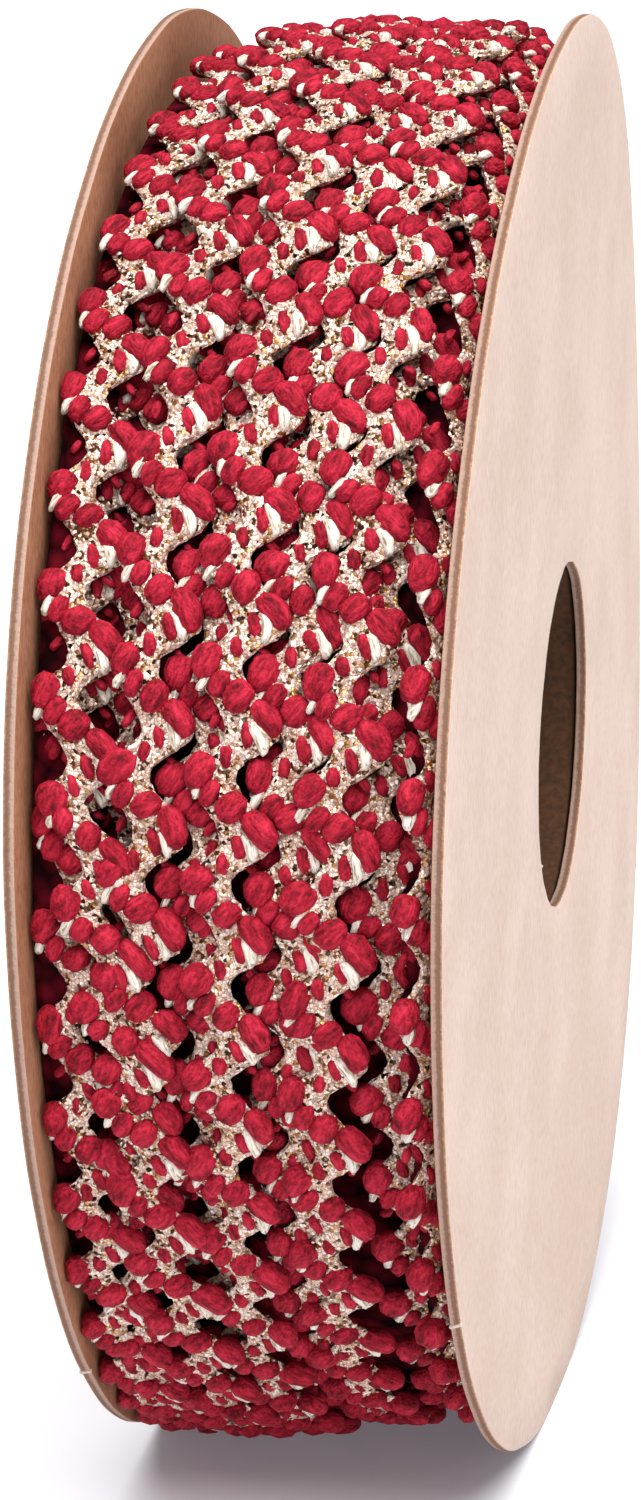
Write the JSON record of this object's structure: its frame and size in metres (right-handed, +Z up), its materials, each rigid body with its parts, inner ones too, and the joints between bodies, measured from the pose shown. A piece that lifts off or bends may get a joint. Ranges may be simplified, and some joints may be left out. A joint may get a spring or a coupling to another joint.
{
  "type": "roll of gift ribbon",
  "caption": "Zigzag gift braid wound in close rows between two round board discs on a paper core tube.",
  "frame": {"origin": "on the floor under the middle of the spool, between the two rest flats", "axes": "+X along the spool's axis from the left disc to the right disc, +Z up, -Y towards the side that the picture shows"},
  "size_m": [0.0382, 0.14, 0.1396],
  "materials": {
    "kraft_board": "matt kraft board",
    "tube_paper": "matt brown tube paper",
    "red_braid": "soft matt yarn",
    "gold_thread": "flat cream thread with gold flecks"
  },
  "bodies": {
    "root": {"disc_left": "kraft_board", "disc_right": "kraft_board", "core_tube": "tube_paper", "ribbon_roll": "red_braid"}
  },
  "joints": []
}
